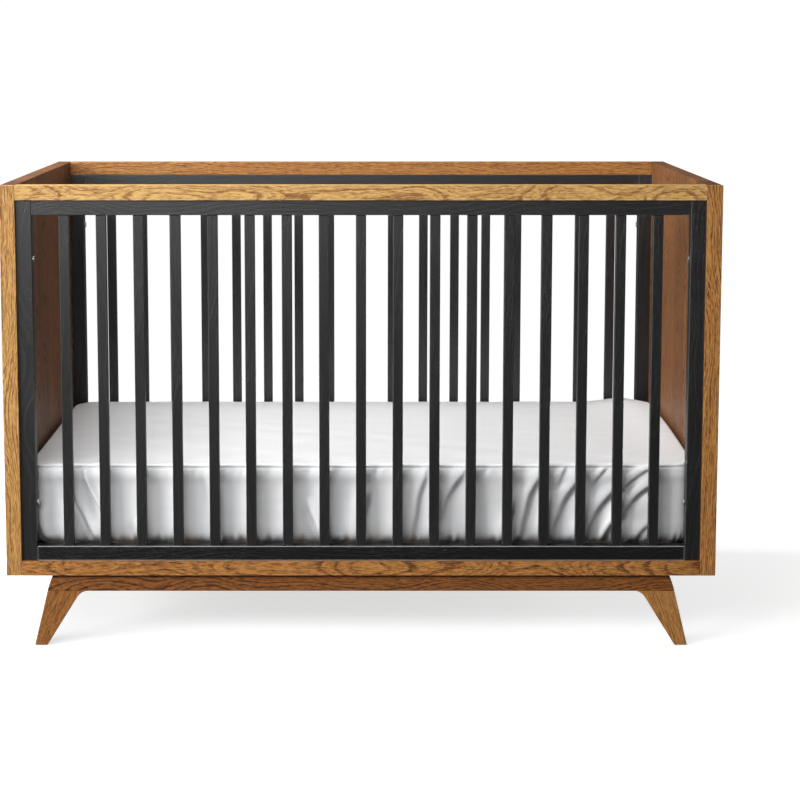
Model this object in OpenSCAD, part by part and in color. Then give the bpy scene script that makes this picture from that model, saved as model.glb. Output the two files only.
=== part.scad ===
// Baby crib: solid end panels, slatted sides in black frames, splayed legs under a base frame,
// a mattress in a fitted sheet, and a slatted mattress support that hooks on at four heights.
// Millimetres. The origin is on the floor under the middle of the crib;
// +X runs along its length, +Y to the rear side and +Z up.

/* [Overall size] */
// Length over the end panels
crib_length = 1390; // [1350:5:1430]
// Width over the front and rear edges of the end panels
crib_width = 773; // [750:1:800]
// Height of the top rails above the floor
crib_height = 912; // [890:1:960]
// Height of the body's underside above the floor
body_bottom = 145; // [135:1:160]

/* [Sides] */
// Thickness of an end panel
end_thickness = 30; // [28:1:34]
// Height of each oak rail, and of each black rail that it is glued to
rail_height = 29; // [28:1:33]
// Depth of an oak rail, front to rear
rail_depth = 31; // [30:1:36]
// Width of a black stile
stile_width = 30; // [28:1:34]
// Depth of the black frame, which stands back from the oak rail's outer face
frame_depth = 25; // [23:1:27]
// Number of slats in each side
slat_count = 17; // [15:1:18]
// Width of a slat
slat_width = 20; // [18:1:24]
// Thickness of a slat
slat_thickness = 13; // [11:1:15]

/* [Base] */
// Height of the base rails
base_height = 34; // [32:1:40]
// Depth of the front and rear base rails and of the legs
base_depth = 35; // [34:1:40]
// How far the base stands back from the body's front and rear
base_inset = 12; // [8:1:13]
// How far a foot's outer edge stands in from the end of the crib
foot_inset = 50.5; // [40:0.5:60]
// Width of a leg at the floor
foot_width = 24; // [22:1:28]
// Lean of a leg's outer edge from upright, in degrees
leg_outer_lean = 13.7; // [12:0.1:15]
// Lean of a leg's inner edge from upright, in degrees
leg_inner_lean = 31.8; // [30:0.1:34]
// Radius of the fillet between a leg and the rail above it
leg_fillet = 26; // [20:1:30]
// Radius of the base rail's curved ends
base_end_radius = 190; // [150:5:250]

/* [Mattress support] */
// Height of the support's top above the floor in its lowest setting
support_top = 192; // [191:1:202]
// Distance between two height settings
height_step = 96; // [80:8:96]
// Number of height settings
height_count = 4; // [2:1:4]
// Number of support slats
support_slat_count = 11; // [9:1:12]

/* [Mattress] */
// Thickness of the mattress
mattress_height = 168; // [100:4:172]
// Gap between the sheet and the body all round
mattress_gap = 8; // [6:1:12]
// Thickness of the fitted sheet's solid
sheet_thickness = 1.5; // [1:0.5:2]

/* [Hidden] */
$fn = 48;
cut = 1;  // how far a cutter starts outside the face that it cuts
half_length = crib_length / 2;
half_width = crib_width / 2;
inner_x = half_length - end_thickness;
inner_y = half_width - rail_depth;

// Sides
low_rail_z = [body_bottom, body_bottom + rail_height];
top_rail_z = [crib_height - rail_height, crib_height];
frame_low_z = [low_rail_z[1], low_rail_z[1] + rail_height];
frame_top_z = [top_rail_z[0] - rail_height, top_rail_z[0]];
frame_y = [inner_y, inner_y + frame_depth];
frame_mid_y = inner_y + frame_depth / 2;
opening_x = inner_x - stile_width;
slat_gap = (2 * opening_x - slat_count * slat_width) / (slat_count + 1);
slat_pitch = slat_width + slat_gap;
slat_y = [frame_mid_y - slat_thickness / 2, frame_mid_y + slat_thickness / 2];
slat_shoulder = [3, 2.5];  // how far a slat's tenon is inset in width and thickness
slat_tenon = 10;
rail_tenon = 18;
rail_tenon_y = [frame_mid_y - 6, frame_mid_y + 6];
rail_tenon_inset = 5;

// Dowels, in diameter and length
dowel_d = 10;
rail_dowel_length = 40;
rail_dowel_y = half_width - rail_depth / 2;
frame_dowel_d = 8;
frame_dowel_length = 30;
frame_dowel_x = [-560, -210, 210, 560];

// M6 bolts and the sleeves that they screw into
bolt_d = 6;
bolt_hole_d = 6.6;
bolt_head_d = 12;
bolt_head_height = 3;
hex_d = 4.6;
hex_depth = 2;
insert_d = 9;
insert_bore_d = 6.1;
insert_length = 17;
insert_hole = 19;
insert_set = 1;  // how deep a sleeve sits below the face
panel_bolt_z = [288, 768];
panel_bolt_length = 46;

// Base
leg_top = body_bottom - base_height;
foot_out_x = half_length - foot_inset;
foot_in_x = foot_out_x - foot_width;
base_y = [half_width - base_inset - base_depth, half_width - base_inset];
base_mid_y = (base_y[0] + base_y[1]) / 2;
tie_x = [half_length - 135, half_length - 100];
glide_height = 1.5;
glide_d = 18;
glide_peg_d = 5;
glide_peg = 10;
leg_dowel_x = [leg_outer(leg_top) - 43.5, leg_outer(leg_top) - 20.5];
leg_dowel_y = base_y[1] - 9;
leg_dowel_z = [leg_top - 20, leg_top + 22];
tie_dowel_z = [leg_top + 8.5, leg_top + 25.5];
tie_dowel_y = [base_y[0] - 25, base_y[0] + 20];
tie_mid_x = (tie_x[0] + tie_x[1]) / 2;
base_bolt_x = [-420, 0, 420];
base_bolt_y = (inner_y + base_y[1]) / 2;
counterbore_d = 14;
counterbore = 8;
socket_head_d = 10;
base_bolt_head = 6;
base_bolt_end = body_bottom + 18;

// Mattress support
support_x = inner_x - 13;
support_y = inner_y - 7.5;
support_wood = 24;
support_rail_height = 32;
support_slat_height = 10;
support_slat_width = 60;
support_slat_gap = 8;  // between an end rail and the slat next to it
support_z = [support_top - support_slat_height - support_rail_height, support_top - support_slat_height];
support_slat_span = 2 * (support_x - support_wood - support_slat_gap) - support_slat_width;
support_slat_pitch = support_slat_span / (support_slat_count - 1);
bracket_y = 250;
bracket_width = 50;
steel = 3;
plate_gap = 0.7;  // between a bracket's plate and the end panel
plate_x = [inner_x - plate_gap - steel, inner_x - plate_gap];
flange_inset = 2;
slot_d = 8.6;
hanger_z = support_top - 28;
hanger_d = 8;
hanger_head_d = 16;
hanger_head_gap = 0.4;  // between a hanger's head and the plate
hanger_head_height = 5;
hanger_head_x = [plate_x[0] - hanger_head_gap - hanger_head_height, plate_x[0] - hanger_head_gap];
hanger_thread = 15;
height_z = [for (k = [0:height_count - 1]) hanger_z + k * height_step];
height_insert_d = 10;
bracket_screw_y = 15;
screw_d = 5;
screw_head_d = 9;
screw_length = 30;
corner_screw_inset = 9;
corner_screw_z = [support_z[0] + corner_screw_inset, support_z[1] - corner_screw_inset];
corner_screw_length = 60;

// Mattress and sheet
bed_rest = 0.3;  // clearance between the bedding and what it lies on
sheet_x = inner_x - mattress_gap;
sheet_y = inner_y - mattress_gap;
sheet_z = [support_top + bed_rest, support_top + bed_rest + mattress_height + 2 * sheet_thickness];
corner_radius = 40;
hem_width = 90;

// Colours
oak = [0.66, 0.46, 0.26];
black = [0.13, 0.13, 0.14];
pine = [0.86, 0.74, 0.55];
beech = [0.80, 0.64, 0.46];
zinc = [0.72, 0.73, 0.75];
nylon = [0.85, 0.85, 0.83];
white = [0.95, 0.95, 0.95];
foam = [0.88, 0.87, 0.82];

slat_names = [for (i = [1:slat_count]) slat_name(i)];

function slat_name(i) = str("front_slat_", i < 10 ? "0" : "", i);
function slat_x(i) = (i - (slat_count + 1) / 2) * slat_pitch;
function mid(range) = (range[0] + range[1]) / 2;
function leg_outer(z) = foot_out_x - z * tan(leg_outer_lean);
function leg_inner(z) = foot_in_x - z * tan(leg_inner_lean);
function arc(centre, r, from, to, steps) =
    [for (i = [0:steps]) let (a = from + (to - from) * i / steps) centre + r * [cos(a), sin(a)]];
function mirrored(points) = [for (i = [len(points) - 1:-1:0]) [-points[i][0], points[i][1]]];

// A block between two limits on each axis
module block(x, y, z) {
    translate([x[0], y[0], z[0]]) cube([x[1] - x[0], y[1] - y[0], z[1] - z[0]]);
}

// A round bar from a point along one of the six axis directions
module bar(from, along, d, length) {
    translate(from) rotate([0, acos(along[2]), atan2(along[1], along[0])]) cylinder(d = d, h = length);
}

// A cutter for a hole that starts at a face
module bore(from, along, d, depth) {
    bar(from - cut * along, along, d, depth + cut);
}

// What is drawn for the right rear corner, at the corner with these signs
module at_corner(sx, sy) {
    mirror([sx < 0 ? 1 : 0, 0, 0]) mirror([0, sy < 0 ? 1 : 0, 0]) children();
}

module at_each_corner() {
    for (sx = [-1, 1], sy = [-1, 1]) at_corner(sx, sy) children();
}

// A flat outline in X and Z, given its depth along Y
module upright(y) {
    translate([0, y[1], 0]) rotate([90, 0, 0]) linear_extrude(y[1] - y[0]) children();
}

// A slab with round upright corners
module round_slab(x, y, z, r) {
    translate([0, 0, z[0]]) linear_extrude(z[1] - z[0]) {
        square([2 * (x - r), 2 * y], center = true);
        square([2 * x, 2 * (y - r)], center = true);
        for (sx = [-1, 1], sy = [-1, 1]) translate([sx * (x - r), sy * (y - r)]) circle(r);
    }
}

module end_panel(sx) {
    color(oak) at_corner(sx, 1) difference() {
        block([inner_x, half_length], [-half_width, half_width], [body_bottom, crib_height]);
        for (sy = [-1, 1]) {
            for (z = [mid(low_rail_z), mid(top_rail_z)])
                bore([inner_x, sy * rail_dowel_y, z], [1, 0, 0], dowel_d, rail_dowel_length / 2);
            for (z = panel_bolt_z)
                bore([inner_x, sy * frame_mid_y, z], [1, 0, 0], insert_d, insert_hole);
            for (z = height_z)
                bore([inner_x, sy * bracket_y, z], [1, 0, 0], height_insert_d, insert_length);
        }
    }
}

module rail_end_bores(z) {
    for (sx = [-1, 1])
        bore([sx * inner_x, rail_dowel_y, mid(z)], [-sx, 0, 0], dowel_d, rail_dowel_length / 2);
}

module top_rail(sy) {
    color(oak) at_corner(1, sy) difference() {
        block([-inner_x, inner_x], [inner_y, half_width], top_rail_z);
        rail_end_bores(top_rail_z);
        for (x = frame_dowel_x)
            bore([x, frame_mid_y, top_rail_z[0]], [0, 0, 1], frame_dowel_d, frame_dowel_length / 2);
    }
}

module bottom_rail(sy) {
    color(oak) at_corner(1, sy) difference() {
        block([-inner_x, inner_x], [inner_y, half_width], low_rail_z);
        rail_end_bores(low_rail_z);
        for (x = frame_dowel_x)
            bore([x, frame_mid_y, low_rail_z[1]], [0, 0, -1], frame_dowel_d, frame_dowel_length / 2);
        for (x = base_bolt_x)
            bore([x, base_bolt_y, low_rail_z[0]], [0, 0, 1], insert_d, insert_hole);
    }
}

// The stub at the end of a black rail, or the mortise that it fills
module rail_stub(z, x) {
    block(x, rail_tenon_y, [z[0] + rail_tenon_inset, z[1] - rail_tenon_inset]);
}

module stile(sx, sy) {
    color(black) at_corner(sx, sy) difference() {
        block([opening_x, inner_x], frame_y, [frame_low_z[0], frame_top_z[1]]);
        for (z = [frame_low_z, frame_top_z]) rail_stub(z, [opening_x - cut, opening_x + rail_tenon]);
        for (z = panel_bolt_z)
            bore([opening_x, frame_mid_y, z], [1, 0, 0], bolt_hole_d, stile_width + cut);
    }
}

// A black rail; slat_face is the height of its face towards the slats
module frame_rail(sy, z, slat_face) {
    inward = slat_face == z[1] ? -1 : 1;
    color(black) at_corner(1, sy) difference() {
        union() {
            block([-opening_x, opening_x], frame_y, z);
            rail_stub(z, [-opening_x - rail_tenon, opening_x + rail_tenon]);
        }
        for (i = [1:slat_count]) slat_stub(i, slat_face + inward * (slat_tenon - cut) / 2, slat_tenon + cut);
        for (x = frame_dowel_x)
            bore([x, frame_mid_y, z[0] + z[1] - slat_face], [0, 0, -inward],
                 frame_dowel_d, frame_dowel_length / 2);
    }
}

// A slat's tenons, or one mortise, as a bar centred at a height
module slat_stub(i, z, length) {
    block([slat_x(i) - slat_width / 2 + slat_shoulder[0], slat_x(i) + slat_width / 2 - slat_shoulder[0]],
          [slat_y[0] + slat_shoulder[1], slat_y[1] - slat_shoulder[1]],
          [z - length / 2, z + length / 2]);
}

module slat(i, sy) {
    shown = [frame_low_z[1], frame_top_z[0]];
    color(black) at_corner(1, sy) {
        block([slat_x(i) - slat_width / 2, slat_x(i) + slat_width / 2], slat_y, shown);
        slat_stub(i, mid(shown), shown[1] - shown[0] + 2 * slat_tenon);
    }
}

module base_rail(sy) {
    end = asin(sin(leg_outer_lean) + base_height / base_end_radius);
    centre = [leg_outer(leg_top), leg_top] - base_end_radius * [cos(leg_outer_lean), sin(leg_outer_lean)];
    right_end = arc(centre, base_end_radius, leg_outer_lean, end, 8);
    color(oak) at_corner(1, sy) difference() {
        upright(base_y) polygon(concat(right_end, mirrored(right_end)));
        for (x = base_bolt_x) {
            bore([x, base_bolt_y, leg_top], [0, 0, 1], bolt_hole_d, base_height + cut);
            bore([x, base_bolt_y, leg_top], [0, 0, 1], counterbore_d, counterbore);
        }
        for (sx = [-1, 1]) {
            for (x = leg_dowel_x)
                bore([sx * x, leg_dowel_y, leg_top], [0, 0, 1], dowel_d, leg_dowel_z[1] - leg_top);
            for (z = tie_dowel_z)
                bore([sx * tie_mid_x, base_y[0], z], [0, 1, 0], dowel_d, tie_dowel_y[1] - base_y[0]);
        }
    }
}

module cross_rail(sx) {
    color(oak) at_corner(sx, 1) difference() {
        block(tie_x, [-base_y[0], base_y[0]], [leg_top, body_bottom]);
        for (sy = [-1, 1], z = tie_dowel_z)
            bore([tie_mid_x, sy * base_y[0], z], [0, -sy, 0], dowel_d, base_y[0] - tie_dowel_y[0]);
    }
}

module leg(sx, sy) {
    fillet_x = leg_inner(leg_top) - leg_fillet * tan((90 - leg_inner_lean) / 2);
    fillet = arc([fillet_x, leg_top - leg_fillet], leg_fillet, 90, leg_inner_lean, 12);
    outline = concat(
        [[leg_inner(glide_height), glide_height], [leg_outer(glide_height), glide_height],
         [leg_outer(leg_top), leg_top]],
        fillet);
    color(oak) at_corner(sx, sy) difference() {
        upright(base_y) polygon(outline);
        for (x = leg_dowel_x)
            bore([x, leg_dowel_y, leg_top], [0, 0, -1], dowel_d, leg_top - leg_dowel_z[0]);
        bore([mid([foot_in_x, foot_out_x]), base_mid_y, glide_height], [0, 0, 1], glide_peg_d, glide_peg);
    }
}

module foot_glides() {
    color(nylon) at_each_corner() translate([mid([foot_in_x, foot_out_x]), base_mid_y, 0]) {
        cylinder(d = glide_d, h = glide_height);
        cylinder(d = glide_peg_d, h = glide_height + glide_peg);
    }
}

module rail_dowels() {
    color(beech) at_each_corner() for (z = [mid(low_rail_z), mid(top_rail_z)])
        bar([inner_x - rail_dowel_length / 2, rail_dowel_y, z], [1, 0, 0], dowel_d, rail_dowel_length);
}

module frame_dowels() {
    color(beech) for (sy = [-1, 1], x = frame_dowel_x, z = [low_rail_z[1], top_rail_z[0]])
        bar([x, sy * frame_mid_y, z - frame_dowel_length / 2], [0, 0, 1], frame_dowel_d, frame_dowel_length);
}

module base_dowels() {
    color(beech) at_each_corner() {
        for (x = leg_dowel_x)
            bar([x, leg_dowel_y, leg_dowel_z[0]], [0, 0, 1], dowel_d, leg_dowel_z[1] - leg_dowel_z[0]);
        for (z = tie_dowel_z)
            bar([tie_mid_x, tie_dowel_y[0], z], [0, 1, 0], dowel_d, tie_dowel_y[1] - tie_dowel_y[0]);
    }
}

// A bolt whose head rests on the face at from, with a hexagon socket
module bolt(from, along, head_d, head_height, length) {
    difference() {
        union() {
            bar(from, along, bolt_d, length);
            bar(from - head_height * along, along, head_d, head_height);
        }
        translate(from - (head_height + cut) * along)
            rotate([0, acos(along[2]), atan2(along[1], along[0])])
                cylinder(d = hex_d, h = hex_depth + cut, $fn = 6);
    }
}

// A threaded sleeve that starts at from
module sleeve(from, along, d, length) {
    difference() {
        bar(from, along, d, length);
        bore(from, along, insert_bore_d, length + cut);
    }
}

module panel_bolts() {
    color(zinc) at_each_corner() for (z = panel_bolt_z)
        bolt([opening_x, frame_mid_y, z], [1, 0, 0], bolt_head_d, bolt_head_height, panel_bolt_length);
}

module panel_inserts() {
    color(zinc) at_each_corner() for (z = panel_bolt_z)
        sleeve([inner_x + insert_set, frame_mid_y, z], [1, 0, 0], insert_d, insert_length);
}

module base_bolts() {
    seat = leg_top + counterbore;
    color(zinc) for (sy = [-1, 1], x = base_bolt_x)
        bolt([x, sy * base_bolt_y, seat], [0, 0, 1], socket_head_d, base_bolt_head, base_bolt_end - seat);
}

module base_inserts() {
    color(zinc) for (sy = [-1, 1], x = base_bolt_x)
        sleeve([x, sy * base_bolt_y, low_rail_z[0] + insert_set], [0, 0, 1], insert_d, insert_length);
}

module height_inserts() {
    color(zinc) at_each_corner() for (z = height_z)
        sleeve([inner_x, bracket_y, z], [1, 0, 0], height_insert_d, insert_length);
}

module hanger_bolts() {
    color(zinc) at_each_corner() difference() {
        union() {
            bar([hanger_head_x[0], bracket_y, hanger_z], [1, 0, 0], hanger_head_d,
                hanger_head_x[1] - hanger_head_x[0]);
            bar([hanger_head_x[1], bracket_y, hanger_z], [1, 0, 0], hanger_d, inner_x - hanger_head_x[1]);
            bar([inner_x, bracket_y, hanger_z], [1, 0, 0], bolt_d, hanger_thread);
        }
        translate([hanger_head_x[0] - cut, bracket_y, hanger_z]) rotate([0, 90, 0])
            cylinder(d = hex_d, h = hex_depth + cut, $fn = 6);
    }
}

// A long rail of the support, with clearance holes for the corner screws
module support_rail(sy) {
    color(black) at_corner(1, sy) difference() {
        block([-support_x, support_x], [support_y - support_wood, support_y], support_z);
        for (sx = [-1, 1], z = corner_screw_z)
            bore([sx * (support_x - support_wood / 2), support_y, z], [0, -1, 0],
                 screw_d, support_wood + cut);
    }
}

module support_end_rail(sx) {
    end_y = support_y - support_wood;
    mid_x = support_x - support_wood / 2;
    color(black) at_corner(sx, 1) difference() {
        block([support_x - support_wood, support_x], [-end_y, end_y], support_z);
        for (sy = [-1, 1]) {
            for (z = corner_screw_z)
                bore([mid_x, sy * end_y, z], [0, -sy, 0], screw_d, corner_screw_length - support_wood);
            for (y = [-bracket_screw_y, bracket_screw_y])
                bore([mid_x, sy * bracket_y + y, support_z[1]], [0, 0, -1], screw_d, screw_length - steel);
        }
    }
}

module support_centre_rail() {
    end_x = support_x - support_wood;
    color(pine) block([-end_x, end_x], [-support_wood / 2, support_wood / 2], support_z);
}

module support_slats() {
    color(pine) for (i = [0:support_slat_count - 1]) {
        x = (i - (support_slat_count - 1) / 2) * support_slat_pitch;
        block([x - support_slat_width / 2, x + support_slat_width / 2], [-support_y, support_y],
              [support_z[1], support_top]);
    }
}

// An angle bracket: a flange on the end rail, and a plate with a slot that is open at the bottom
module support_brackets() {
    y = [bracket_y - bracket_width / 2, bracket_y + bracket_width / 2];
    color(zinc) at_each_corner() difference() {
        union() {
            block([support_x - support_wood + flange_inset, plate_x[1]], y, [support_z[1], support_z[1] + steel]);
            block(plate_x, y, [support_z[0], support_z[1] + steel]);
        }
        bar([plate_x[0] - cut, bracket_y, hanger_z], [1, 0, 0], slot_d, steel + 2 * cut);
        block([plate_x[0] - cut, plate_x[1] + cut], [bracket_y - slot_d / 2, bracket_y + slot_d / 2],
              [support_z[0] - cut, hanger_z]);
        for (dy = [-bracket_screw_y, bracket_screw_y])
            bar([support_x - support_wood / 2, bracket_y + dy, support_z[1] - cut], [0, 0, 1],
                screw_d, steel + 2 * cut);
    }
}

module support_screws() {
    mid_x = support_x - support_wood / 2;
    color(zinc) at_each_corner() {
        for (dy = [-bracket_screw_y, bracket_screw_y])
            translate([mid_x, bracket_y + dy, support_z[1] + steel]) {
                cylinder(d = screw_head_d, h = steel);
                translate([0, 0, -screw_length]) cylinder(d = screw_d, h = screw_length);
            }
        for (z = corner_screw_z) {
            bar([mid_x, support_y, z], [0, 1, 0], screw_head_d, steel);
            bar([mid_x, support_y - corner_screw_length, z], [0, 1, 0], screw_d, corner_screw_length);
        }
    }
}

module mattress() {
    t = sheet_thickness;
    color(foam) round_slab(sheet_x - t, sheet_y - t, [sheet_z[0] + t, sheet_z[1] - t], corner_radius - t);
}

// The sheet wraps the mattress and turns under it in a hem
module fitted_sheet() {
    t = sheet_thickness;
    color(white) difference() {
        round_slab(sheet_x, sheet_y, sheet_z, corner_radius);
        round_slab(sheet_x - t, sheet_y - t, [sheet_z[0] + t, sheet_z[1] - t], corner_radius - t);
        round_slab(sheet_x - hem_width, sheet_y - hem_width, [sheet_z[0] - cut, sheet_z[0] + 2 * t],
                   corner_radius);
    }
}

end_panel(-1);  // left_end_panel
end_panel(1);  // right_end_panel
top_rail(-1);  // front_top_rail
top_rail(1);  // rear_top_rail
bottom_rail(-1);  // front_bottom_rail
bottom_rail(1);  // rear_bottom_rail
stile(-1, -1);  // front_left_stile
stile(1, -1);  // front_right_stile
stile(-1, 1);  // rear_left_stile
stile(1, 1);  // rear_right_stile
frame_rail(-1, frame_top_z, frame_top_z[0]);  // front_frame_top_rail
frame_rail(1, frame_top_z, frame_top_z[0]);  // rear_frame_top_rail
frame_rail(-1, frame_low_z, frame_low_z[1]);  // front_frame_bottom_rail
frame_rail(1, frame_low_z, frame_low_z[1]);  // rear_frame_bottom_rail
for (i = [1:slat_count]) {
    slat(i, -1);
}
for (i = [1:slat_count]) slat(i, 1);  // rear_slats
base_rail(-1);  // front_base_rail
base_rail(1);  // rear_base_rail
cross_rail(-1);  // left_base_rail
cross_rail(1);  // right_base_rail
leg(-1, -1);  // front_left_leg
leg(1, -1);  // front_right_leg
leg(-1, 1);  // rear_left_leg
leg(1, 1);  // rear_right_leg
foot_glides();
rail_dowels();
frame_dowels();
base_dowels();
panel_bolts();
panel_inserts();
base_bolts();
base_inserts();
height_inserts();
hanger_bolts();
support_rail(-1);  // support_front_rail
support_rail(1);  // support_rear_rail
support_end_rail(-1);  // support_left_rail
support_end_rail(1);  // support_right_rail
support_centre_rail();
support_slats();
support_brackets();
support_screws();
mattress();
fitted_sheet();
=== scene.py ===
"""The looks of an oak and black baby crib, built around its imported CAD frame. Metres, Z up."""

import math
import random

import bpy
import numpy as np
from mathutils import Matrix, Vector


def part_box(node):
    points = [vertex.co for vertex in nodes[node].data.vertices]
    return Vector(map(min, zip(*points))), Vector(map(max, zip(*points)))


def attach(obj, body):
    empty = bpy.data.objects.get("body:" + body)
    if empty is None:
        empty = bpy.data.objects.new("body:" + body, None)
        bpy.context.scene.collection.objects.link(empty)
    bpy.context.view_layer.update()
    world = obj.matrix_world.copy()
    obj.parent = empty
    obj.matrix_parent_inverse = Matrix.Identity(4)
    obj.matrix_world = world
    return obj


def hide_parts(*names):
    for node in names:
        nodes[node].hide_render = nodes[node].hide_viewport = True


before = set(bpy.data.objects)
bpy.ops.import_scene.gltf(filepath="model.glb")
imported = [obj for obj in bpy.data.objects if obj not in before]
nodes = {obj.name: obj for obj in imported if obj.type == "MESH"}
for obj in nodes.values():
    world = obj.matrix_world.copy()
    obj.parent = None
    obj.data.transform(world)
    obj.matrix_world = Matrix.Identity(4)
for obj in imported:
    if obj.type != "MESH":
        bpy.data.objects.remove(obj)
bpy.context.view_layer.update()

MM = 0.001
scene = bpy.context.scene


# ---------------------------------------------------------------- shader nodes


class Shader:
    """Writes one material's nodes. A value given to a node is a number, a tuple or another node's output."""

    def __init__(self, name):
        self.material = bpy.data.materials.new(name)
        self.material.use_nodes = True
        self.tree = self.material.node_tree
        self.surface = self.tree.nodes["Principled BSDF"]

    def add(self, kind, inputs=None, **settings):
        made = self.tree.nodes.new("ShaderNode" + kind)
        for name, value in settings.items():
            setattr(made, name, value)
        for socket, value in (inputs or {}).items():
            self.put(made.inputs[socket], value)
        return made

    def put(self, socket, value):
        if isinstance(value, bpy.types.NodeSocket):
            self.tree.links.new(value, socket)
        elif isinstance(value, tuple) and len(value) == 3 and socket.type == "RGBA":
            socket.default_value = (*value, 1.0)
        else:
            socket.default_value = value

    def finish(self, **sockets):
        """Puts values on the surface's sockets: base_color is Base Color, and so on."""
        for name, value in sockets.items():
            words = name.replace("_", " ").title().replace("Ior", "IOR")
            self.put(self.surface.inputs[words], value)
        return self.material

    def attribute(self, name, output="Vector"):
        return self.add("Attribute", attribute_name=name).outputs[output]

    def position(self):
        return self.add("TexCoord").outputs["Object"]

    def math(self, operation, a, b=0.0, clamp=False):
        return self.add("Math", {0: a, 1: b}, operation=operation, use_clamp=clamp).outputs[0]

    def times(self, a, b):
        return self.math("MULTIPLY", a, b)

    def plus(self, a, b):
        return self.math("ADD", a, b)

    def stretch(self, vector, scale):
        made = self.add("VectorMath", {0: vector, 1: scale}, operation="MULTIPLY")
        return made.outputs[0]

    def split(self, vector):
        return self.add("SeparateXYZ", {0: vector}).outputs

    def join(self, x, y, z):
        return self.add("CombineXYZ", {0: x, 1: y, 2: z}).outputs[0]

    def length(self, vector):
        return self.add("VectorMath", {0: vector}, operation="LENGTH").outputs["Value"]

    def noise(self, vector, scale=1.0, detail=2.0, roughness=0.5):
        """Noise about zero, from about -0.5 to 0.5."""
        inputs = {"Vector": vector, "Scale": scale, "Detail": detail, "Roughness": roughness}
        made = self.add("TexNoise", inputs, noise_dimensions="3D")
        return self.plus(made.outputs[0], -0.5)

    def random(self, value):
        """A random number from 0 to 1, its own for each value."""
        made = self.add("TexWhiteNoise", {"W": value}, noise_dimensions="1D")
        return made.outputs["Value"]

    def curve(self, value, points):
        """A smooth function of value through points of (value, result)."""
        made = self.add("FloatCurve", {"Value": value})
        line = made.mapping.curves[0]
        for i, (x, y) in enumerate(points):
            if i < len(line.points):
                line.points[i].location = (x, y)
            else:
                line.points.new(x, y)
        made.mapping.update()
        return made.outputs[0]

    def span(self, value, low, high, to_low=0.0, to_high=1.0):
        inputs = {0: value, 1: low, 2: high, 3: to_low, 4: to_high}
        return self.add("MapRange", inputs, clamp=True).outputs[0]

    def blend(self, share, a, b, kind="MIX"):
        made = self.add("Mix", {0: share, 6: a, 7: b}, data_type="RGBA", blend_type=kind)
        return made.outputs[2]

    def choose(self, share, a, b):
        """Vector a where share is 0 and vector b where it is 1."""
        return self.add("Mix", {0: share, 4: a, 5: b}, data_type="VECTOR").outputs[1]

    def bump(self, height, distance, strength=1.0):
        inputs = {"Height": height, "Distance": distance, "Strength": strength}
        return self.add("Bump", inputs).outputs[0]


# ---------------------------------------------------------------- wood

STAVE = 130 * MM  # the width of one veneered stave
LIP = 9 * MM  # the width of a panel's solid lipping
OAK_RING, BLACK_RING, PINE_RING, BEECH_RING = 3.0 * MM, 4.5 * MM, 4.5 * MM, 2.0 * MM
PANEL_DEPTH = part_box("left_end_panel")[1].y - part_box("left_end_panel")[0].y


def growth_rings(s, place, width):
    """The rings of a log at place, whose X runs along the grain and whose Y and Z are measured from the
    log's heart. Gives how far a point is into its ring, 0 to 1, that ring's own random number, and the
    place unrolled, so that a pattern on it follows the rings: X along the grain, Y outward, Z roughly
    round the log."""
    parts = s.split(place)
    heart = s.length(s.join(0.0, parts[1], parts[2]))
    sway = s.noise(s.stretch(place, (3.0, 4.0, 4.0)), detail=1.0)
    bend = s.noise(s.stretch(place, (8.0, 18.0, 18.0)), detail=2.0)
    shiver = s.noise(s.stretch(place, (70.0, 200.0, 200.0)), detail=2.0)
    radius = s.plus(heart, s.times(sway, 0.080))
    radius = s.plus(radius, s.times(bend, 0.010))
    radius = s.plus(radius, s.times(shiver, 0.0009))
    rings = s.times(radius, 1.0 / width)
    uneven = s.noise(s.join(s.times(rings, 0.6), 0.0, 0.0), detail=1.0)
    rings = s.plus(rings, s.times(uneven, 1.5))
    unrolled = s.join(parts[0], radius, s.plus(parts[1], parts[2]))
    return s.math("FRACT", rings), s.random(s.math("FLOOR", rings)), unrolled


def pores(s, unrolled):
    """The short dark pores that run with the grain, from 0 to 1."""
    field = s.noise(s.stretch(unrolled, (60.0, 1300.0, 500.0)), detail=2.0, roughness=0.6)
    return s.span(field, 0.06, 0.15)


def glued_panel(s, place):
    """A panel of veneered staves, side by side along the place's Y, with a solid lipping on its two long
    edges. Gives each point's place in its own piece of wood, how much it is lipping, its stave's random
    number, and how much it is in a joint."""
    parts = s.split(place)
    across = s.times(parts[1], 1.0 / STAVE)
    number = s.math("FLOOR", across)
    chance = s.random(number)
    other = s.random(s.plus(number, 40.5))
    along = s.plus(parts[0], s.times(chance, 9.0))
    within = s.plus(s.times(s.math("FRACT", across), STAVE), s.times(other, -STAVE))
    through = s.plus(parts[2], s.plus(0.03, s.times(chance, 0.06)))
    distance = s.math("ABSOLUTE", parts[1])
    lip = s.math("GREATER_THAN", distance, PANEL_DEPTH / 2 - LIP)
    lip_place = s.join(parts[0], s.plus(parts[2], 0.028), s.plus(distance, 0.03 - PANEL_DEPTH / 2))
    place = s.choose(lip, s.join(along, within, through), lip_place)
    edge = s.math("ABSOLUTE", s.plus(s.math("FRACT", across), -0.5))
    joint = s.span(edge, 0.5 - 0.0011 / STAVE, 0.5 - 0.0004 / STAVE)
    joint = s.plus(joint, s.span(s.math("ABSOLUTE", s.plus(distance, LIP - PANEL_DEPTH / 2)), 0.0009, 0.0003))
    return place, lip, other, joint


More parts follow.
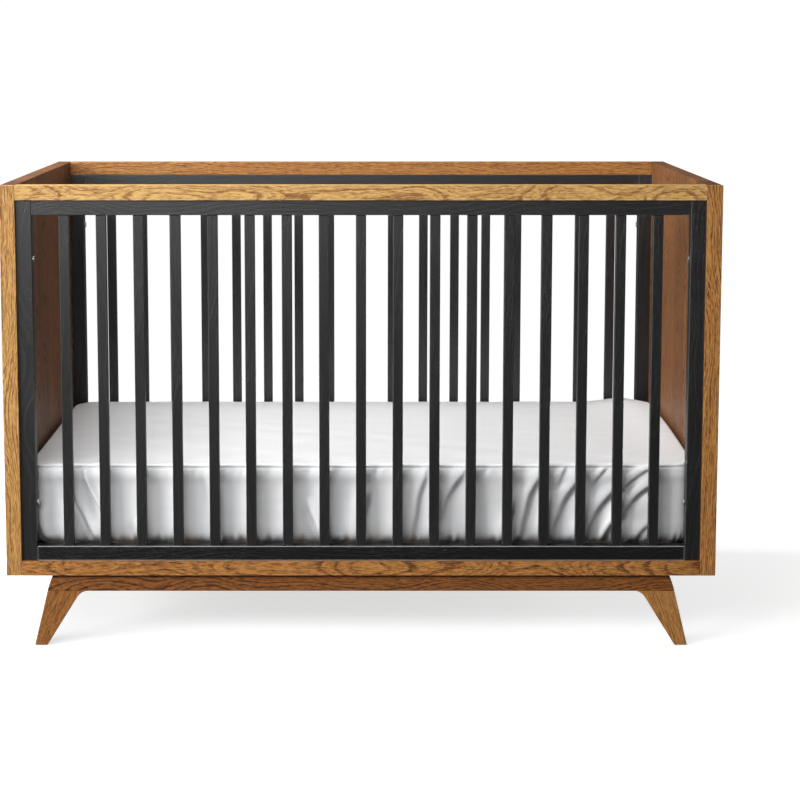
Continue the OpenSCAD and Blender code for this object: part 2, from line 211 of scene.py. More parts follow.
def oak(name, panel=False):
    """Oiled oak, as a solid board or as a glued panel."""
    s = Shader(name)
    place = s.attribute("grain")
    tone = s.attribute("tone", "Fac")
    if panel:
        place, lip, stave, joint = glued_panel(s, place)
    ring, chance, unrolled = growth_rings(s, place, OAK_RING)
    early = s.curve(
        ring,
        [(0.0, 0.4), (0.1, 1.0), (0.3, 0.6), (0.5, 0.15), (0.75, 0.0), (0.93, 0.05), (1.0, 0.4)],
    )
    early = s.times(early, s.span(chance, 0.0, 1.0, 0.3, 1.0))
    pore = pores(s, unrolled)
    pore = s.times(pore, s.span(early, 0.1, 0.7, 0.3, 1.0))
    fleck = s.noise(s.stretch(unrolled, (75.0, 900.0, 450.0)), detail=2.0, roughness=0.6)
    line = s.noise(s.stretch(unrolled, (20.0, 480.0, 330.0)), detail=2.0, roughness=0.65)
    cloud = s.noise(s.stretch(place, (3.5, 14.0, 14.0)), detail=3.0)
    dark = s.plus(s.times(early, 0.62), s.times(line, 1.7))
    dark = s.plus(dark, s.times(fleck, 2.2))
    dark = s.plus(dark, s.times(cloud, 0.3))
    dark = s.plus(dark, s.times(pore, 0.25))
    dark = s.math("ADD", dark, 0.27, clamp=True)
    tone = s.plus(tone, s.times(cloud, 0.6))
    golden = s.blend(dark, (0.69, 0.43, 0.142), (0.25, 0.10, 0.030))
    honey = s.blend(dark, (0.53, 0.236, 0.062), (0.115, 0.036, 0.009))
    brown = s.blend(dark, (0.295, 0.106, 0.026), (0.050, 0.014, 0.004))
    colour = s.blend(s.span(tone, 0.0, 1.0, 1.0, 0.0), golden, honey)
    colour = s.blend(s.span(tone, -1.0, 0.0, 1.0, 0.0), colour, brown)
    if panel:
        shade = s.span(stave, 0.0, 1.0, 0.6, 1.4)
        veneer = s.blend(dark, (0.20, 0.082, 0.028), (0.040, 0.015, 0.006))
        veneer = s.blend(1.0, veneer, s.join(shade, shade, shade), "MULTIPLY")
        colour = s.blend(lip, veneer, colour)
        colour = s.blend(s.times(joint, 0.6), colour, (0.03, 0.014, 0.008))
    height = s.plus(s.times(early, -0.5), s.times(pore, -0.5))
    height = s.plus(height, s.times(fleck, -0.8))
    return s.finish(
        base_color=colour,
        roughness=s.span(s.plus(early, pore), 0.0, 1.4, 0.48, 0.68),
        specular_ior_level=0.26,
        normal=s.bump(height, 0.00022, 0.7),
    )


def black_stain(name, low, high, gloss=0.7, ends=None):
    """Black stain on open-grained oak, with colours between low and high; pale colours make a painted
    highlight for a rounded edge. Where the surface leans along X, as the edges at a rail's two ends do, its
    colour is ends if that is given, which keeps such a painted highlight off them."""
    s = Shader(name)
    place = s.attribute("grain")
    tone = s.attribute("tone", "Fac")
    ring, chance, unrolled = growth_rings(s, place, BLACK_RING)
    early = s.curve(ring, [(0.0, 0.5), (0.06, 1.0), (0.35, 0.5), (0.7, 0.1), (1.0, 0.3)])
    early = s.times(early, s.span(chance, 0.0, 1.0, 0.4, 1.0))
    pore = pores(s, unrolled)
    fibre = s.noise(s.stretch(unrolled, (40.0, 450.0, 300.0)), detail=3.0)
    patch = s.noise(s.stretch(place, (5.0, 16.0, 16.0)), detail=2.0)
    pale = s.math("ADD", s.plus(s.times(fibre, 0.9), s.times(early, -0.35)), 0.5, clamp=True)
    colour = s.blend(pale, low, high)
    shade = s.span(tone, -1.0, 1.0, 0.8, 1.2)
    colour = s.blend(1.0, colour, s.join(shade, shade, shade), "MULTIPLY")
    if ends:
        lean = s.math("ABSOLUTE", s.split(s.add("NewGeometry").outputs["Normal"])[0])
        colour = s.blend(s.span(lean, 0.2, 0.4), colour, ends)
    height = s.plus(s.times(early, -0.6), s.times(pore, -0.6))
    height = s.plus(height, s.times(fibre, 0.8))
    rough = s.plus(s.span(early, 0.0, 1.0, 0.38, 0.48), s.times(patch, 0.10))
    return s.finish(
        base_color=colour,
        roughness=rough,
        specular_ior_level=gloss,
        normal=s.bump(height, 0.0003, 0.7),
    )


def soft_wood(name, low, high, ring_width):
    """Plain sawn pine or beech."""
    s = Shader(name)
    place = s.attribute("grain")
    ring, chance, unrolled = growth_rings(s, place, ring_width)
    late = s.curve(ring, [(0.0, 0.0), (0.55, 0.12), (0.88, 0.9), (0.94, 1.0), (1.0, 0.05)])
    late = s.times(late, s.span(chance, 0.0, 1.0, 0.5, 1.0))
    fibre = s.noise(s.stretch(unrolled, (9.0, 500.0, 300.0)), detail=3.0)
    share = s.math("ADD", s.times(late, 0.7), s.times(fibre, 0.5), clamp=True)
    return s.finish(
        base_color=s.blend(share, high, low),
        roughness=s.span(late, 0.0, 1.0, 0.62, 0.5),
        normal=s.bump(s.plus(late, fibre), 0.00015, 0.5),
    )


# ---------------------------------------------------------------- metal, plastic and cloth


def metal(name, colour, roughness):
    """Plated steel with faint rolling marks and blotches."""
    s = Shader(name)
    spot = s.noise(s.position(), scale=900.0, detail=3.0)
    brushed = s.noise(s.stretch(s.position(), (3000.0, 500.0, 3000.0)), detail=1.0)
    dim = tuple(c * 0.72 for c in colour)
    return s.finish(
        base_color=s.blend(s.span(spot, -0.2, 0.25), colour, dim),
        metallic=1.0,
        roughness=s.span(s.plus(spot, brushed), -0.4, 0.4, roughness - 0.07, roughness + 0.12),
        normal=s.bump(brushed, 0.00004, 0.3),
    )


def nylon(name):
    s = Shader(name)
    grit = s.noise(s.position(), scale=1600.0, detail=2.0)
    return s.finish(
        base_color=s.blend(s.span(grit, -0.3, 0.3), (0.028, 0.028, 0.030), (0.05, 0.05, 0.052)),
        roughness=s.span(grit, -0.3, 0.3, 0.45, 0.6),
        normal=s.bump(grit, 0.0001, 0.4),
    )


def satin(name):
    """White cotton sateen: a tight weave with a soft sheen. Painted shade makes it grey in its hollows, from
    its own occlusion, and dark near its hem, where other pieces crowd it."""
    s = Shader(name)
    place = s.position()
    warp = s.noise(s.stretch(place, (700.0, 2400.0, 700.0)), detail=1.0)
    weft = s.noise(s.stretch(place, (2400.0, 700.0, 2400.0)), detail=1.0)
    slub = s.noise(s.stretch(place, (14.0, 60.0, 60.0)), detail=3.0)
    thread = s.plus(warp, weft)
    white = s.blend(s.span(slub, -0.3, 0.3), (0.80, 0.805, 0.815), (0.855, 0.86, 0.87))
    # Painted shade: the cloth's own occlusion greys the hollows of its folds.
    hollow_shade = s.add("AmbientOcclusion", {"Distance": 0.03}, samples=6, only_local=True).outputs["AO"]
    white = s.blend(s.span(hollow_shade, 0.45, 0.95), (0.36, 0.36, 0.37), white)
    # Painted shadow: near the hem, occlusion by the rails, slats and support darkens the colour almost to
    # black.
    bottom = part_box("fitted_sheet")[0].z
    hem = s.span(s.split(place)[2], bottom + 0.012, bottom + 0.050, 1.0, 0.0)
    crowded = s.add("AmbientOcclusion", {"Distance": 0.04}, samples=6).outputs["AO"]
    shade = s.times(hem, s.span(crowded, 0.15, 0.9, 1.0, 0.0))
    return s.finish(
        base_color=s.blend(shade, white, (0.10, 0.10, 0.105)),
        roughness=s.span(thread, -0.4, 0.4, 0.34, 0.44),
        specular_ior_level=0.5,
        sheen_weight=0.12,
        sheen_roughness=0.4,
        normal=s.bump(thread, 0.00006, 0.35),
    )


def ticking(name):
    """The mattress cover: a knitted white jacquard with small raised diamonds."""
    s = Shader(name)
    place = s.position()
    knit = s.noise(s.stretch(place, (1500.0, 1500.0, 1500.0)), detail=1.0)
    parts = s.split(place)
    turn = 2 * math.pi / (24 * MM)
    one = s.math("SINE", s.times(s.plus(parts[0], parts[1]), turn))
    two = s.math("SINE", s.times(s.math("SUBTRACT", parts[0], parts[1]), turn))
    diamond = s.span(s.times(one, two), -0.15, 0.15)
    return s.finish(
        base_color=s.blend(diamond, (0.70, 0.70, 0.68), (0.80, 0.80, 0.785)),
        roughness=0.85,
        sheen_weight=0.2,
        normal=s.bump(s.plus(s.times(diamond, 0.8), s.times(knit, 0.6)), 0.0005, 0.5),
    )


# ---------------------------------------------------------------- CAD nodes


# each row is a direction in the crib: along, across and through the grain
ALONG_X = Matrix(((1, 0, 0), (0, 0, 1), (0, 1, 0)))
ALONG_Y = Matrix(((0, 1, 0), (0, 0, 1), (1, 0, 0)))
ALONG_Z = Matrix(((0, 0, 1), (1, 0, 0), (0, 1, 0)))
PANEL = Matrix(((0, 0, 1), (0, 1, 0), (1, 0, 0)))


def leaning(degrees):
    """Grain that leans from upright towards +X."""
    a = math.radians(degrees)
    return Matrix(((math.sin(a), 0, math.cos(a)), (math.cos(a), 0, -math.sin(a)), (0, 1, 0)))


def loose_parts(co, faces):
    """A number for each point, the same for all the points of one solid."""
    keys = {}
    joined = [keys.setdefault(tuple(np.round(p, 5)), i) for i, p in enumerate(co)]
    parent = list(range(len(co)))

    def root(i):
        while parent[i] != i:
            parent[i] = parent[parent[i]]
            i = parent[i]
        return i

    for face in faces:
        first = root(joined[face[0]])
        for corner in face[1:]:
            parent[root(joined[corner])] = first
    return np.array([root(i) for i in joined])


def lay_grain(obj, turn, heart, tone=0.0, spread=0.35):
    """Writes where each point lay in its log. Turn's rows are the directions along, across and through the
    grain, and heart is the log's heart, across and through, from the middle of the solid. Writes each
    solid's tone too, from about -1 to 1, which differs from tone by up to spread."""
    mesh = obj.data
    co = np.empty(len(mesh.vertices) * 3)
    mesh.vertices.foreach_get("co", co)
    co = co.reshape(-1, 3)
    labels = loose_parts(co, [tuple(p.vertices) for p in mesh.polygons])
    place = np.empty_like(co)
    tones = np.empty(len(co))
    chance = random.Random(obj.name)
    for label in sorted(set(labels)):
        mine = labels == label
        middle = (co[mine].min(0) + co[mine].max(0)) / 2
        shift = np.array((chance.uniform(0, 60), -heart[0], -heart[1]))
        place[mine] = (co[mine] - middle) @ np.array(turn).T + shift
        tones[mine] = tone + spread * chance.uniform(-1, 1)
    grain = mesh.attributes.new("grain", "FLOAT_VECTOR", "POINT")
    grain.data.foreach_set("vector", place.astype(np.float32).ravel())
    shade = mesh.attributes.new("tone", "FLOAT", "POINT")
    shade.data.foreach_set("value", tones.astype(np.float32))


def ease_edges(obj, width, materials):
    """Rounds every sharp edge a little. A second material goes on the rounded edge: on the black pieces, a
    paler black as a painted highlight.
    """
    obj.data.materials.clear()
    for material in materials:
        obj.data.materials.append(material)
    weld = obj.modifiers.new("Join faces", "WELD")
    weld.merge_threshold = 0.01 * MM
    flat = obj.modifiers.new("Merge flats", "DECIMATE")
    flat.decimate_type = "DISSOLVE"
    flat.angle_limit = math.radians(0.5)
    bevel = obj.modifiers.new("Eased edge", "BEVEL")
    bevel.limit_method = "ANGLE"
    bevel.angle_limit = math.radians(40)
    bevel.width = width
    bevel.segments = 2
    bevel.use_clamp_overlap = width < MM
    bevel.harden_normals = True
    bevel.material = len(materials) - 1 if len(materials) > 1 else -1


OAK = oak("oak_oiled")
OAK_PANEL = oak("oak_staves", panel=True)
BLACK = black_stain("black_stain", (0.0032, 0.0033, 0.0036), (0.0085, 0.0087, 0.0092))
# Painted shade: a darker, less glossy copy of the black stain for the inner frame's bottom rails, low down
# where less light falls.
BLACK_LOW_SHADED = black_stain("black_stain_satin", (0.0026, 0.0026, 0.0028), (0.007, 0.007, 0.0075), 0.42)
# Painted highlight: a paler black for the rounded edges of the slats, stiles and top rails, standing in for
# the light they catch.
BLACK_EDGE_HIGHLIGHT = black_stain("black_stain_edge", (0.022, 0.022, 0.022), (0.05, 0.05, 0.05))
# Painted highlight: a light grey on the rounded top edge of the inner frame's bottom rails, where light
# catches it; the edges at the rails' ends keep a plain black.
BLACK_TOP_EDGE_HIGHLIGHT = black_stain(
    "black_stain_worn_edge", (0.20, 0.20, 0.195), (0.42, 0.42, 0.41), ends=(0.008, 0.008, 0.008)
)
PINE = soft_wood("pine_sawn", (0.42, 0.22, 0.09), (0.66, 0.47, 0.25), PINE_RING)
BEECH = soft_wood("beech_turned", (0.45, 0.27, 0.15), (0.60, 0.41, 0.25), BEECH_RING)
ZINC = metal("zinc_plate", (0.62, 0.62, 0.60), 0.32)
BRASSED = metal("insert_plate", (0.58, 0.50, 0.30), 0.34)
NYLON = nylon("nylon_glide")
SATIN = satin("satin_weave")
TICKING = ticking("mattress_ticking")

OAK_EASE = 1.3 * MM
BLACK_EASE = 1.5 * MM
METAL_EASE = 0.25 * MM

OAK_BOARDS = {
    # node: grain directions, heart across and through the board (m), tone
    "front_top_rail": (ALONG_X, (-0.012, 0.036), 1.0),
    "rear_top_rail": (ALONG_X, (0.030, -0.03), 0.0),
    "front_bottom_rail": (ALONG_X, (0.006, 0.042), -0.1),
    "rear_bottom_rail": (ALONG_X, (-0.02, -0.03), -0.1),
    # The base rails' tone of -1.0 is partly their own darker colour and partly painted shade, as they sit
    # back under the body.
    "front_base_rail": (ALONG_X, (-0.035, 0.030), -1.0),
    "rear_base_rail": (ALONG_X, (-0.035, 0.030), -1.0),
    "left_base_rail": (ALONG_Y, (-0.02, 0.05), -1.0),
    "right_base_rail": (ALONG_Y, (-0.02, 0.05), -1.0),
    "front_left_leg": (leaning(18), (-0.12, 0.02), -0.55),
    "front_right_leg": (leaning(-18), (0.12, 0.02), 0.15),
    "rear_left_leg": (leaning(18), (-0.11, 0.03), -0.4),
    "rear_right_leg": (leaning(-18), (0.11, 0.03), 0.15),
}
for name, (turn, heart, tone) in OAK_BOARDS.items():
    lay_grain(nodes[name], turn, heart, tone, 0.0)
    ease_edges(nodes[name], OAK_EASE, [OAK])

for name, tone in (("left_end_panel", 0.5), ("right_end_panel", 0.1)):
    lay_grain(nodes[name], PANEL, (0.0, 0.0), tone, 0.0)
    ease_edges(nodes[name], OAK_EASE, [OAK_PANEL])

# The black pieces' rounded edges take a paler black as a painted highlight; the inner frame's bottom rails
# take a darker copy of the stain as painted shade.
for name, obj in nodes.items():
    if "slat" in name and "support" not in name or "stile" in name:
        lay_grain(obj, ALONG_Z, (0.03, 0.05))
        ease_edges(obj, BLACK_EASE, [BLACK, BLACK_EDGE_HIGHLIGHT])
    elif "frame_" in name and "bottom_rail" in name:
        lay_grain(obj, ALONG_X, (-0.03, 0.05))
        ease_edges(obj, BLACK_EASE, [BLACK_LOW_SHADED, BLACK_TOP_EDGE_HIGHLIGHT])
    elif "frame_" in name and "top_rail" in name:
        lay_grain(obj, ALONG_X, (-0.03, 0.05))
        ease_edges(obj, BLACK_EASE, [BLACK, BLACK_EDGE_HIGHLIGHT])
    # The support's outer rails get the black stain, a guessed colour that also stands in for the shade under
    # the sheet's hem, where they show.
    elif name in ("support_front_rail", "support_rear_rail"):
        lay_grain(obj, ALONG_X, (0.02, 0.04))
        ease_edges(obj, OAK_EASE, [BLACK])
    elif name in ("support_left_rail", "support_right_rail"):
        lay_grain(obj, ALONG_Y, (0.02, 0.04))
        ease_edges(obj, OAK_EASE, [BLACK])
    elif name in ("support_centre_rail", "support_slats"):
        lay_grain(obj, ALONG_X if "centre" in name else ALONG_Y, (0.01, 0.06))
        ease_edges(obj, OAK_EASE, [PINE])
    elif name.endswith("dowels"):
        lay_grain(obj, ALONG_X, (0.01, 0.06))
        ease_edges(obj, METAL_EASE, [BEECH])
    elif name.endswith("inserts"):
        ease_edges(obj, METAL_EASE, [BRASSED])
    elif name.endswith(("bolts", "brackets", "screws")):
        ease_edges(obj, METAL_EASE, [ZINC])
    elif name == "foot_glides":
        ease_edges(obj, METAL_EASE, [NYLON])


# ---------------------------------------------------------------- mattress and sheet


def spaced(half, step, edge, fine):
    """Places from -half to half, about step apart, and about fine apart within edge of either end."""
    inner = np.linspace(edge - half, half - edge, max(2, round(2 * (half - edge) / step)) + 1)
    outer = np.linspace(0, edge, max(1, round(edge / fine)) + 1)[1:]
    return np.concatenate([inner[0] - outer[::-1], inner, inner[-1] + outer])


def box_lattice(half, steps, edge, fine, hem=None):
    """The outside of a box as a lattice of quads, finer near its edges. With hem, its underside is only a
    strip of that width round the edge."""
    lines = [spaced(h, step, edge, fine) for h, step in zip(half, steps)]
    nx, ny, nz = (len(line) - 1 for line in lines)
    index, points, quads = {}, [], []

    def point(*ijk):
        if ijk not in index:
            index[ijk] = len(points)
            points.append([line[i] for line, i in zip(lines, ijk)])
        return index[ijk]

    for i in range(nx):
        for j in range(ny):
            quads.append([point(i, j, nz), point(i + 1, j, nz), point(i + 1, j + 1, nz), point(i, j + 1, nz)])
            x = abs(lines[0][i] + lines[0][i + 1]) / 2
            y = abs(lines[1][j] + lines[1][j + 1]) / 2
            if hem is None or x > half[0] - hem or y > half[1] - hem:
                quads.append([point(i, j + 1, 0), point(i + 1, j + 1, 0), point(i + 1, j, 0), point(i, j, 0)])
    for k in range(nz):
        for i in range(nx):
            quads.append([point(i, 0, k), point(i + 1, 0, k), point(i + 1, 0, k + 1), point(i, 0, k + 1)])
            quads.append([point(i + 1, ny, k), point(i, ny, k), point(i, ny, k + 1), point(i + 1, ny, k + 1)])
        for j in range(ny):
            quads.append([point(0, j + 1, k), point(0, j, k), point(0, j, k + 1), point(0, j + 1, k + 1)])
            quads.append([point(nx, j, k), point(nx, j + 1, k), point(nx, j + 1, k + 1), point(nx, j, k + 1)])
    return np.array(points), quads


def round_off(a, b):
    """Moves points of the square (a, b), each 0 to 1, onto the quarter disc. Where either is under 0,
    nothing moves."""
    both = (a > 0) & (b > 0)
    far = np.maximum(a, b)
    size = np.where(both, np.hypot(a, b), 1.0)
    return np.where(both, a / size * far, a), np.where(both, b / size * far, b)


def soft_box(points, half, corner, upper, lower):
    """Rounds a box's corners in plan and its edges above and below. Gives the new points and their outward
    normals."""
    x, y, z = points.T
    edge = np.where(z > 0, upper, lower)
    sx, sy, sz = np.sign(x), np.sign(y), np.sign(z)
    cx, cy = half[0] - corner, half[1] - corner
    a, b = (np.abs(x) - cx) / corner, (np.abs(y) - cy) / corner
    ra, rb = round_off(a, b)
    in_corner = (a > 0) & (b > 0)
    plan_x = np.where(in_corner, ra, np.where(a >= b, 1.0, 0.0))
    plan_y = np.where(in_corner, rb, np.where(a >= b, 0.0, 1.0))
    plan = np.stack([plan_x, plan_y])
    plan = plan / np.maximum(np.hypot(*plan), 1e-9)
    inward = (1.0 - np.maximum(a, b)) * corner
    px, py = sx * (cx + ra * corner), sy * (cy + rb * corner)
    out = (edge - inward) / edge
    up = (np.abs(z) - (half[2] - edge)) / edge
    ro, ru = round_off(out, up)
    move = np.where((out > 0) & (up > 0), (ro - out) * edge, 0.0)
    nx, ny = sx * plan[0], sy * plan[1]
    new = np.stack([px + nx * move, py + ny * move, sz * (half[2] - edge + ru * edge)], 1)
    new[:, 2] = np.where(up > 0, new[:, 2], z)
    flat = up >= 1.0 - 1e-9
    nr = np.where((out > 0) & (up > 0), ro, np.where(flat & (out <= 0), 0.0, 1.0))
    nz = np.where((out > 0) & (up > 0), ru, np.where(flat & (out <= 0), 1.0, 0.0))
    normal = np.stack([nx * nr, ny * nr, sz * nz], 1)
    return new, normal / np.linalg.norm(normal, axis=1, keepdims=True)


def mesh_piece(name, points, quads, material):
    mesh = bpy.data.meshes.new(name)
    mesh.from_pydata([tuple(p) for p in points], [], quads)
    mesh.materials.append(material)
    mesh.polygons.foreach_set("use_smooth", [True] * len(mesh.polygons))
    obj = bpy.data.objects.new(name, mesh)
    scene.collection.objects.link(obj)
    return obj


def bell(distance, width):
    return np.exp(-((distance / width) ** 2))


def smooth(value, low, high):
    t = np.clip((value - low) / (high - low), 0, 1)
    return t * t * (3 - 2 * t)


def waves(u, seed, size, shortest=0.05, longest=0.16):
    """Smooth uneven waves along u, about size high, their lengths between shortest and longest."""
    chance = random.Random(seed)
    total = np.zeros_like(u)
    for _ in range(7):
        length = chance.uniform(shortest, longest)
        total += np.sin(2 * math.pi * (u / length + chance.random())) * length
    return size * total / (1.5 * (shortest + longest))


def pull_fold(u, v, start, end, height, width, bow=0.0):
    """A ridge of cloth from start to end, in (along, up) coordinates, gentle on its upper side and steep on
    its lower side, where a valley follows it."""
    line = np.array(end) - np.array(start)
    length = np.hypot(*line)
    line = line / length
    side = np.array((-line[1], line[0])) * (1 if line[0] > 0 else -1)
    du, dv = u - start[0], v - start[1]
    t = (du * line[0] + dv * line[1]) / length
    off = du * side[0] + dv * side[1] - bow * 4 * t * (1 - t)
    fade = smooth(t, -0.1, 0.3) * (1 - smooth(t, 0.7, 1.25))
    wide = width * (0.75 + 0.5 * np.clip(t, 0, 1))
    ridge = np.where(off > 0, bell(off, 1.8 * wide), bell(off, 0.7 * wide))
    below = off + 1.2 * wide
    valley = np.where(below > 0, bell(below, 0.55 * wide), bell(below, 1.5 * wide))
    return 1.4 * height * (ridge - 0.6 * valley) * fade


SLAT_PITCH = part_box("front_slat_02")[0].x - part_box("front_slat_01")[0].x

FRONT_FOLDS = (
    # from (along, up) to (along, up), measured from the middle of the sheet's front and from its bottom,
    # then height, width and bow, all in mm
    ((-640, 82), (-606, 6), 5.0, 10, -5),
    ((-580, 163), (-508, 10), 7.0, 9, -9),
    ((-548, 168), (-506, 72), 4.5, 5, -5),
    ((-440, 60), (-420, 5), 4.0, 12, -3),
    ((-300, 148), (-262, 8), 4.0, 10, -6),
    ((-100, 98), (-56, 6), 5.0, 10, -8),
    ((15, 120), (-12, 10), 3.0, 12, 4),
    ((128, 163), (98, 20), 4.5, 10, 6),
    ((205, 166), (152, 70), 4.5, 9, 5),
    ((300, 98), (283, 8), 4.5, 8, 3),
    ((352, 160), (308, 6), 7.0, 10, 9),
    ((366, 120), (348, 30), 3.5, 6, 3),
    ((430, 148), (368, 14), 7.5, 10, 11),
    ((402, 166), (384, 128), 3.0, 5, 2),
    ((502, 128), (432, 8), 8.0, 10, 11),
    ((512, 70), (466, 0), 6.0, 7, 5),
    ((484, 166), (452, 132), 3.5, 5, 3),
    ((574, 168), (508, 112), 5.5, 6, 6),
    ((580, 140), (506, 62), 7.5, 8, 8),
    ((568, 52), (530, 2), 4.0, 11, 7),
)


def front_folds(x, up, tall):
    """How far the sheet's front stands out at x and at a height up from 0 to 1: a little behind each slat,
    most on the left, then slow waves and the pull folds."""
    left = 1 - smooth(x, 0.05, 0.3)
    turn = 2 * math.pi * x / SLAT_PITCH
    soft = np.cos(turn) + 0.35 * np.cos(2 * turn + 0.8)
    out = 1.5 * MM * soft * (0.3 + 0.7 * left) * smooth(up, 1.0, 0.65)
    out += waves(x + 0.03 * up, 11, 2.0 * MM) * smooth(up, 1.0, 0.7)
    across = x + waves(up * tall + 0.3 * x, 12, 2.4 * MM, 0.07, 0.16)
    height_up = up * tall + waves(x - 0.4 * up * tall, 13, 2.4 * MM, 0.06, 0.15)
    stretch = 1 + waves(x + 0.7 * up * tall, 14, 0.25, 0.05, 0.14)
    for start, end, height, width, bow in FRONT_FOLDS:
        ends = [(a * MM, b * MM) for a, b in (start, end)]
        out += pull_fold(across, height_up, *ends, height * MM, width * MM * stretch, bow * MM)
    return out


def other_folds(u, up, tall, seed):
    """The folds of the sides that can't be seen from the front."""
    out = waves(u + 0.04 * up, seed, 2.4 * MM) * smooth(up, 1.0, 0.65)
    chance = random.Random(seed)
    for _ in range(6):
        at = chance.uniform(float(u.min()) + 0.05, float(u.max()) - 0.05)
        lean = chance.uniform(-0.09, 0.09)
        ends = ((at, 0.15), (at + lean, 0.01))
        out += pull_fold(u, up * tall, *ends, chance.uniform(3, 5.5) * MM, 9 * MM, lean / 12)
    return out


MOST_OUT, MOST_IN = 9 * MM, 12 * MM  # how far the sheet may stand out or in


def sheet_stand_out(points, normal, half):
    """How far each point of the sheet stands out from its smooth shape."""
    x, y, z = points.T
    tall = 2 * half[2]
    up = (z + half[2]) / tall
    depth = half[2] - z
    front, rear = (np.clip(sign * normal[:, 1], 0, 1) ** 2 for sign in (-1, 1))
    left, right = (np.clip(sign * normal[:, 0], 0, 1) ** 2 for sign in (-1, 1))
    out = front_folds(x, up, tall) * front
    out += other_folds(x, up, tall, 21) * rear
    out += other_folds(y, up, tall, 22) * left
    out += other_folds(y, up, tall, 23) * right
    round_it = np.where(np.abs(normal[:, 1]) > np.abs(normal[:, 0]), x, y)
    pucker = waves(round_it + 0.2 * depth, 41, 1.2 * MM, 0.014, 0.034) * waves(round_it, 42, 1.0, 0.15, 0.4)
    out += pucker * bell(depth - 16 * MM, 14 * MM)
    out += 4.2 * MM * bell(depth - 22 * MM, 13 * MM)
    out -= 2.4 * MM * bell(depth - 6.0 * MM, 2.0 * MM)
    gather = waves(round_it, 43, 4.2 * MM, 0.014, 0.036) * (0.7 + waves(round_it, 44, 0.4, 0.1, 0.3))
    out += gather * bell(up * tall - 8 * MM, 15 * MM)
    return np.where(out > 0, MOST_OUT * np.tanh(out / MOST_OUT), np.maximum(out, -MOST_IN))


def crown(points, half):
    """How far the top of the sheet swells, or sinks where it is under 0, from a flat top."""
    fx, fy = points[:, 0] / half[0], points[:, 1] / half[1]
    left = np.clip(-fx, 0, 1) ** 7
    ends = np.maximum(6 * MM * left, 4 * MM * np.abs(fy) ** 6)
    swell = 10 * MM * bell(points[:, 0] - 0.60, 0.07) * bell(points[:, 1] - 0.28, 0.12)
    swell -= 12 * MM * bell(points[:, 0] - 0.66, 0.035) * bell(points[:, 1] - 0.36, 0.06)
    swell += 11 * MM * bell(points[:, 0] - 0.64, 0.06) * bell(points[:, 1] - 0.04, 0.26)
    return swell - ends


HEM = 90 * MM  # how far the sheet reaches in under the mattress


def build_sheet():
    low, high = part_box("fitted_sheet")
    middle = np.array((low + high) / 2)
    half = np.array((high - low) / 2)
    points, quads = box_lattice(half, (3.2 * MM, 6 * MM, 3.4 * MM), 14 * MM, 1.75 * MM, hem=HEM)
    shaped, normal = soft_box(points, half, corner=40 * MM, upper=7 * MM, lower=30 * MM)
    shaped[:, :2] += normal[:, :2] * sheet_stand_out(points, normal, half)[:, None]
    tucked = np.clip(1 - (points[:, 2] + half[2]) / (45 * MM), 0, 1)
    shaped[:, :2] *= 1 - (2 * MM * tucked**2)[:, None] / half[:2]
    up = (points[:, 2] + half[2]) / (2 * half[2])
    shaped[:, 2] += crown(points, half) * smooth(up, 0.2, 1.0)
    top = normal[:, 2].clip(0, 1) ** 2
    shaped[:, 2] += top * waves(points[:, 0] * 0.35 + points[:, 1] * 0.8, 31, 0.7 * MM)
    sheet = mesh_piece("fitted_sheet_cloth", shaped + middle, quads, SATIN)
    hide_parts("fitted_sheet")
    return sheet


def puff_up(piece, pressure, most):
    """Swells a closed piece, as its filling does, with a cloth simulation. Each point's move is then cut to
    most."""
    start = np.array([v.co for v in piece.data.vertices])
    cloth = piece.modifiers.new("Filling", "CLOTH")
    cloth.settings.use_pressure = True
    cloth.settings.uniform_pressure_force = pressure
    cloth.settings.effector_weights.gravity = 0.0
    for step in range(1, 21):
        scene.frame_set(step)
    swollen = piece.evaluated_get(bpy.context.evaluated_depsgraph_get()).to_mesh()
    move = np.array([v.co for v in swollen.vertices]) - start
    piece.modifiers.remove(cloth)
    scene.frame_set(1)
    far = np.linalg.norm(move, axis=1, keepdims=True)
    move *= np.minimum(1.0, most / np.maximum(far, 1e-9))
    piece.data.vertices.foreach_set("co", (start + move).astype(np.float32).ravel())
    piece.data.update()


def build_mattress():
    low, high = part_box("mattress")
    middle = np.array((low + high) / 2)
    half = np.array((high - low) / 2) - np.array((18, 18, 8)) * MM
    points, quads = box_lattice(half, (12 * MM, 12 * MM, 12 * MM), 12 * MM, 6 * MM)
    shaped, _ = soft_box(points, half, corner=36 * MM, upper=14 * MM, lower=24 * MM)
    mattress = mesh_piece("mattress_core", shaped + middle, quads, TICKING)
    puff_up(mattress, 4.0, 5 * MM)
    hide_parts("mattress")
    return mattress


sheet = build_sheet()
mattress = build_mattress()
for piece in (sheet, mattress):
    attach(piece, "mattress")


# ---------------------------------------------------------------- studio


WORLD_LOW, WORLD_HIGH = 0.08, 0.26  # the world's light from below and from above
FLOOR_GLOW = 0.67
CAMERA_PLACE = (0.0002, -4.2246, 1.1863)
CAMERA_TILT = 6.79  # degrees below level


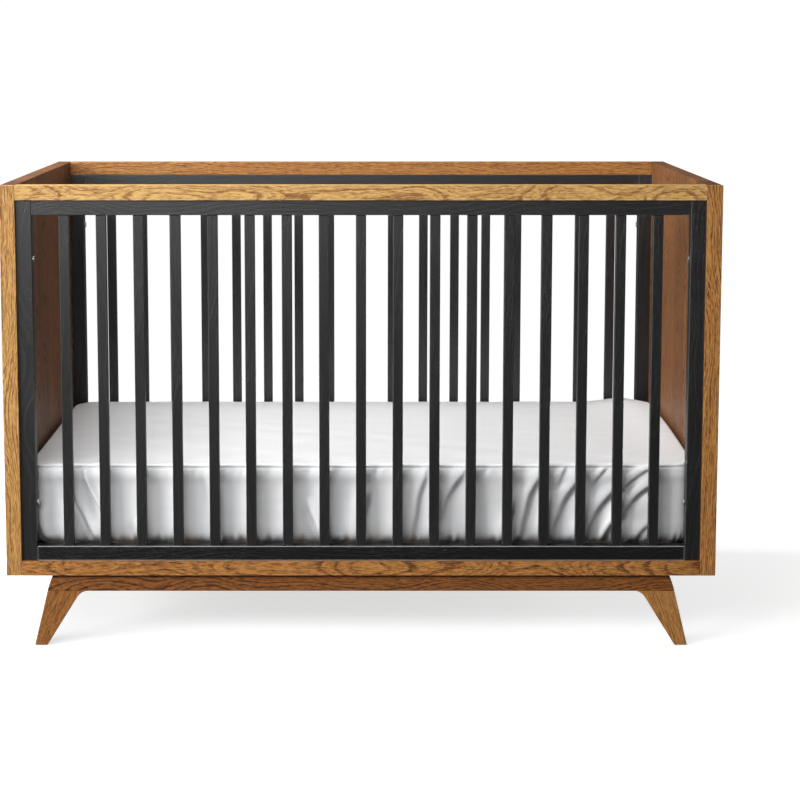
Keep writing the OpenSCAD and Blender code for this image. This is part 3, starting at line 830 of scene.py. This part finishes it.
def build_world():
    """A white studio to look at that gives only a dim, even light, a little brighter from above."""
    world = bpy.data.worlds.new("studio")
    scene.world = world
    world.use_nodes = True
    tree = world.node_tree
    tree.nodes.clear()
    add, link = tree.nodes.new, tree.links.new
    seen, lit = add("ShaderNodeBackground"), add("ShaderNodeBackground")
    seen.inputs[0].default_value = (1, 1, 1, 1)
    seen.inputs[1].default_value = 1.02
    place, parts = add("ShaderNodeTexCoord"), add("ShaderNodeSeparateXYZ")
    link(place.outputs["Generated"], parts.inputs[0])
    height = add("ShaderNodeMapRange")
    for socket, value in zip(height.inputs[1:5], (-0.4, 0.8, WORLD_LOW, WORLD_HIGH)):
        socket.default_value = value
    link(parts.outputs[2], height.inputs[0])
    link(height.outputs[0], lit.inputs[1])
    path, mix, out = add("ShaderNodeLightPath"), add("ShaderNodeMixShader"), add("ShaderNodeOutputWorld")
    link(path.outputs["Is Camera Ray"], mix.inputs[0])
    link(lit.outputs[0], mix.inputs[1])
    link(seen.outputs[0], mix.inputs[2])
    link(mix.outputs[0], out.inputs[0])


def build_floor():
    """A pale floor that fades out into the white studio. It glows a little, so that shadows on it stay
    light."""
    s = Shader("studio_floor")
    fade = s.span(s.length(s.position()), 1.7, 3.4)
    clear = s.add("BsdfTransparent").outputs[0]
    mix = s.add("MixShader", {0: fade, 1: s.surface.outputs[0], 2: clear}).outputs[0]
    s.put(s.tree.nodes["Material Output"].inputs[0], mix)
    mottle = s.noise(s.position(), scale=3.0, detail=3.0)
    s.finish(
        base_color=s.blend(s.span(mottle, -0.4, 0.4), (0.60, 0.60, 0.60), (0.62, 0.62, 0.62)),
        roughness=0.9,
        specular_ior_level=0.1,
        emission_color=(1.0, 1.0, 1.0, 1.0),
        emission_strength=FLOOR_GLOW,
    )
    size = 4.0
    corners = [(-size, -size, 0), (size, -size, 0), (size, size, 0), (-size, size, 0)]
    floor = mesh_piece("studio_floor", corners, [(0, 1, 2, 3)], s.material)
    floor.visible_diffuse = False
    floor.visible_glossy = False


def area_light(name, place, target, width, height, watts):
    data = bpy.data.lights.new(name, "AREA")
    data.shape = "RECTANGLE"
    data.size, data.size_y = width, height
    data.energy = watts
    obj = bpy.data.objects.new(name, data)
    obj.location = place
    obj.rotation_euler = (Vector(target) - Vector(place)).to_track_quat("-Z", "Y").to_euler()
    scene.collection.objects.link(obj)


def build_camera():
    data = bpy.data.cameras.new("camera")
    data.sensor_width = 36
    data.lens = 90.245
    data.shift_x = 0.0486
    data.shift_y = -0.15
    obj = bpy.data.objects.new("camera", data)
    obj.location = CAMERA_PLACE
    obj.rotation_euler = (math.radians(90 - CAMERA_TILT), 0, 0)
    scene.collection.objects.link(obj)
    scene.camera = obj


build_world()
build_floor()
build_camera()
area_light("key", (-0.8, -2.4, 1.5), (0.0, -0.3, 0.6), 1.5, 0.8, 32)
area_light("side", (-4.9, -3.8, 2.2), (0.0, -0.35, 0.4), 3.2, 1.2, 340)
area_light("top", (-1.1, 0.2, 2.6), (0.1, 0, 0.3), 1.2, 1.6, 68)
area_light("fill", (3.4, 1.5, 1.1), (0.3, 0.1, 0.4), 2.0, 1.0, 44)
scene.view_settings.view_transform = "Standard"
